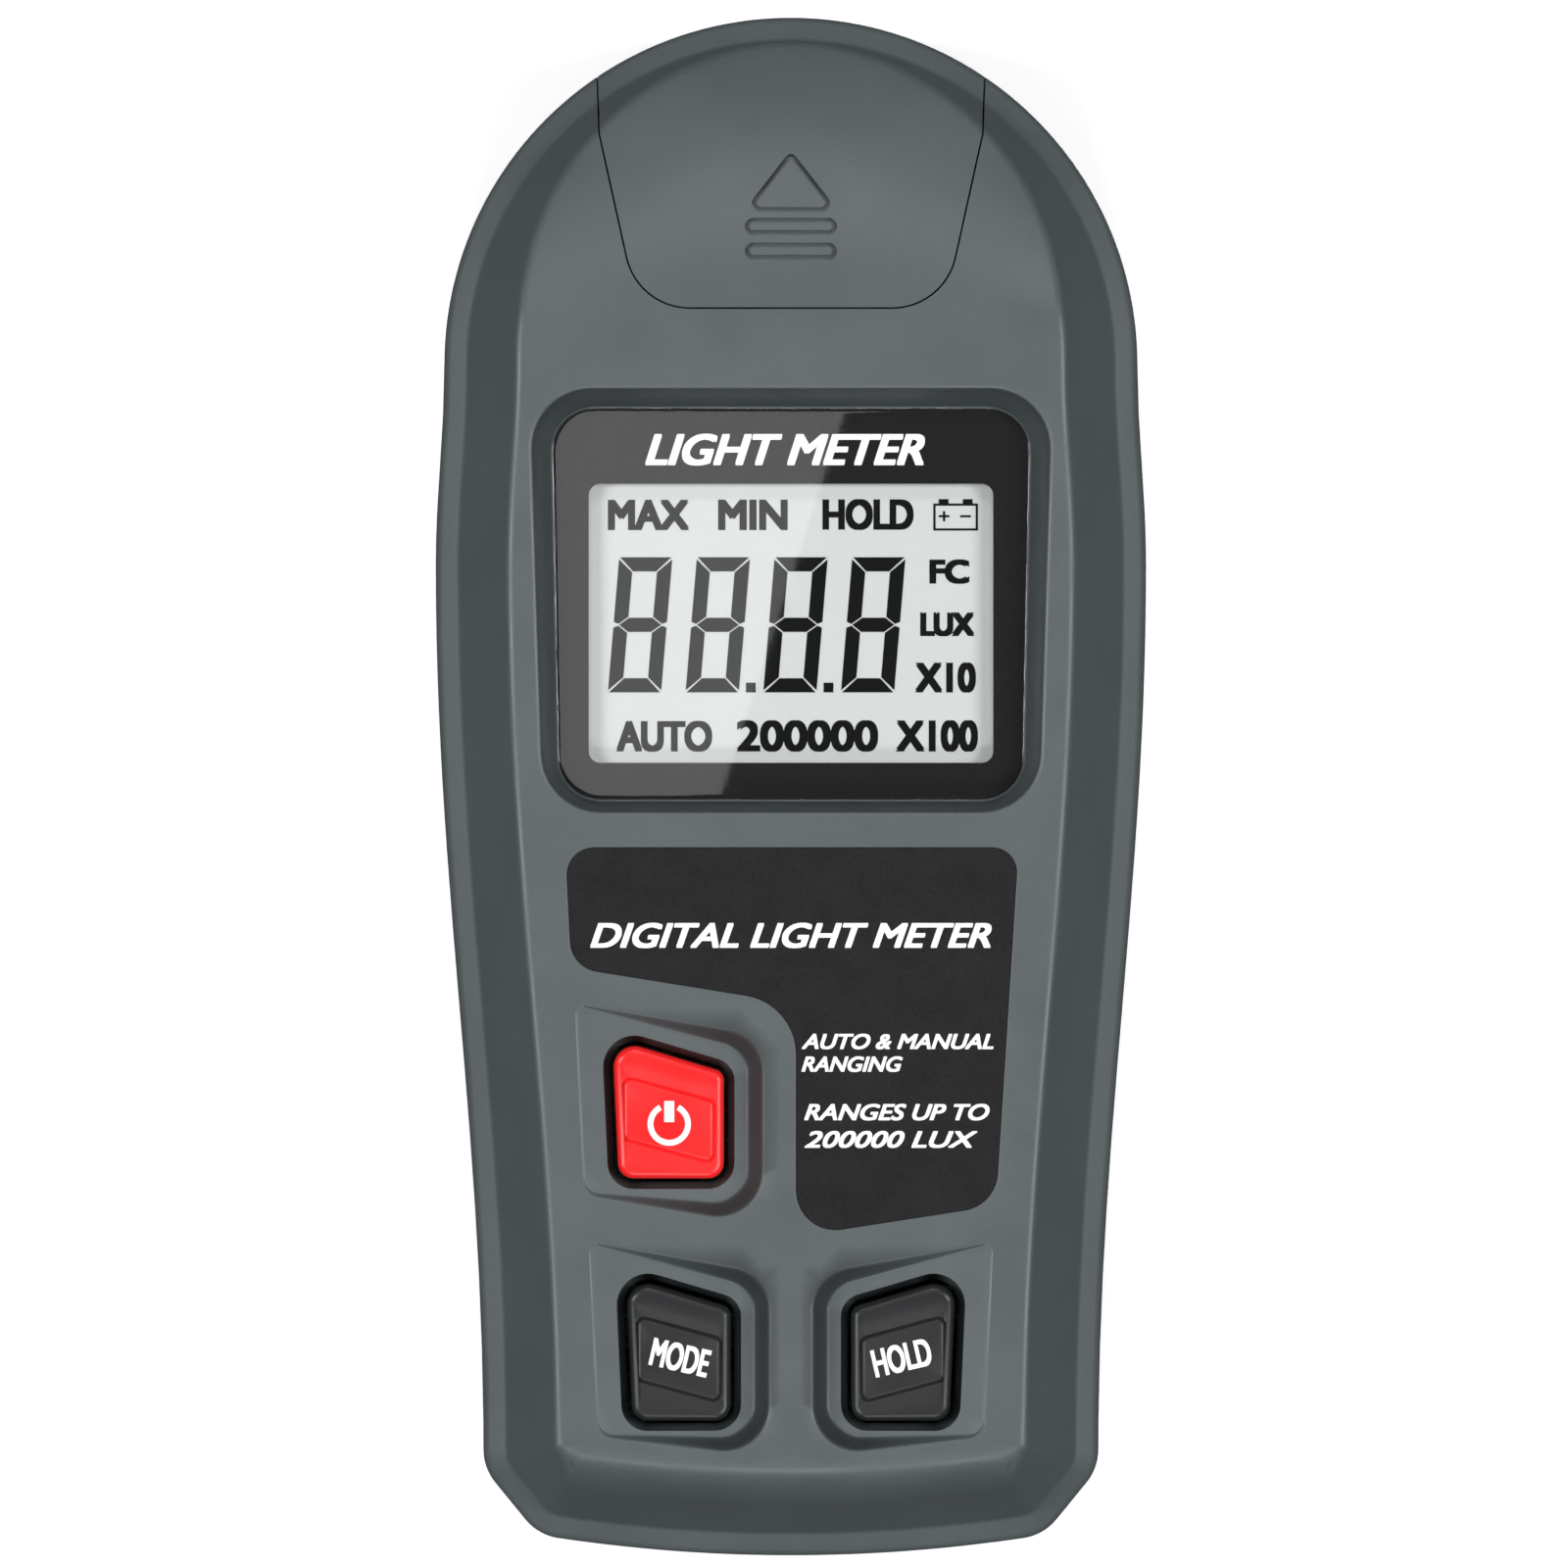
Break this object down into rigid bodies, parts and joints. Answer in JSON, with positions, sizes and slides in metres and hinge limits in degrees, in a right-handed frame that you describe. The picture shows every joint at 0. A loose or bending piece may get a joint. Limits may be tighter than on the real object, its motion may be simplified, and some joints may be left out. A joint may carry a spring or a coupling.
{
  "type": "hand-held light meter",
  "caption": "Hand-held light meter with a segment display, press keys, a sliding sensor cap over a diffuser dome and a sliding battery door.",
  "frame": {"origin": "middle of the flat back, on the surface that the meter lies on", "axes": "+Z out of the display side, +Y towards the sensor cap, +X to the right as the display is read"},
  "size_m": [0.0546, 0.118, 0.0273],
  "materials": {
    "case_grey": "fine spark-eroded satin texture",
    "door_grey": "fine satin texture",
    "cap_grey": "fine satin texture",
    "window_gloss": "polished, printed black behind a clear plate",
    "label_black": "matt printed film",
    "lcd_glass": "pale green-grey reflective display",
    "holder_white": "plain moulded",
    "zebra_rubber": "matt rubber",
    "board_green": "solder mask",
    "key_red": "satin",
    "key_black": "satin",
    "switch_black": "moulded",
    "plunger_ivory": "moulded",
    "chip_black": "moulded epoxy",
    "crystal_steel": "drawn can",
    "parts_ceramic": "ceramic bodies",
    "dome_white": "translucent diffuser",
    "ring_grey": "moulded",
    "filter_green": "polished filter",
    "diode_metal": "plated can",
    "lead_wire": "insulated wire",
    "cell_wrap": "plain printed wrap",
    "contact_nickel": "nickel plated",
    "screw_steel": "zinc plated"
  },
  "bodies": {
    "meter": {"front_case": "case_grey", "rear_case": "case_grey", "display_window": "window_gloss", "front_label": "label_black", "lcd_panel": "lcd_glass", "lcd_holder": "holder_white", "lcd_connectors": "zebra_rubber", "main_board": "board_green", "power_switch": "switch_black", "mode_switch": "switch_black", "hold_switch": "switch_black", "controller_chip": "chip_black", "timing_crystal": "crystal_steel", "board_parts": "parts_ceramic", "sensor_dome": "dome_white", "dome_ring": "ring_grey", "filter_glass": "filter_green", "photodiode": "diode_metal", "sensor_board": "board_green", "sensor_leads": "lead_wire", "battery_cell_1": "cell_wrap", "battery_cell_2": "cell_wrap", "battery_cell_3": "cell_wrap", "contact_plates": "contact_nickel", "contact_springs": "contact_nickel", "battery_leads": "lead_wire", "case_screws": "screw_steel", "board_screws": "screw_steel"},
    "power_button": {"power_key": "key_red", "power_plunger": "plunger_ivory"},
    "mode_button": {"mode_key": "key_black", "mode_plunger": "plunger_ivory"},
    "hold_button": {"hold_key": "key_black", "hold_plunger": "plunger_ivory"},
    "cap": {"sensor_cap": "cap_grey"},
    "door": {"battery_door": "door_grey"}
  },
  "joints": [
    {"name": "power_press", "type": "slide", "parent": "meter", "child": "power_button", "axis": [0, 0, -1], "range_m": [0, 0.0006], "stiffness_N_per_m": 400},
    {"name": "mode_press", "type": "slide", "parent": "meter", "child": "mode_button", "axis": [0, 0, -1], "range_m": [0, 0.0006], "stiffness_N_per_m": 400},
    {"name": "hold_press", "type": "slide", "parent": "meter", "child": "hold_button", "axis": [0, 0, -1], "range_m": [0, 0.0006], "stiffness_N_per_m": 400},
    {"name": "cap_slide", "type": "slide", "parent": "meter", "child": "cap", "axis": [0, 1, 0], "range_m": [0, 0.026]},
    {"name": "door_slide", "type": "slide", "parent": "meter", "child": "door", "axis": [0, -1, 0], "range_m": [0, 0.058]}
  ]
}
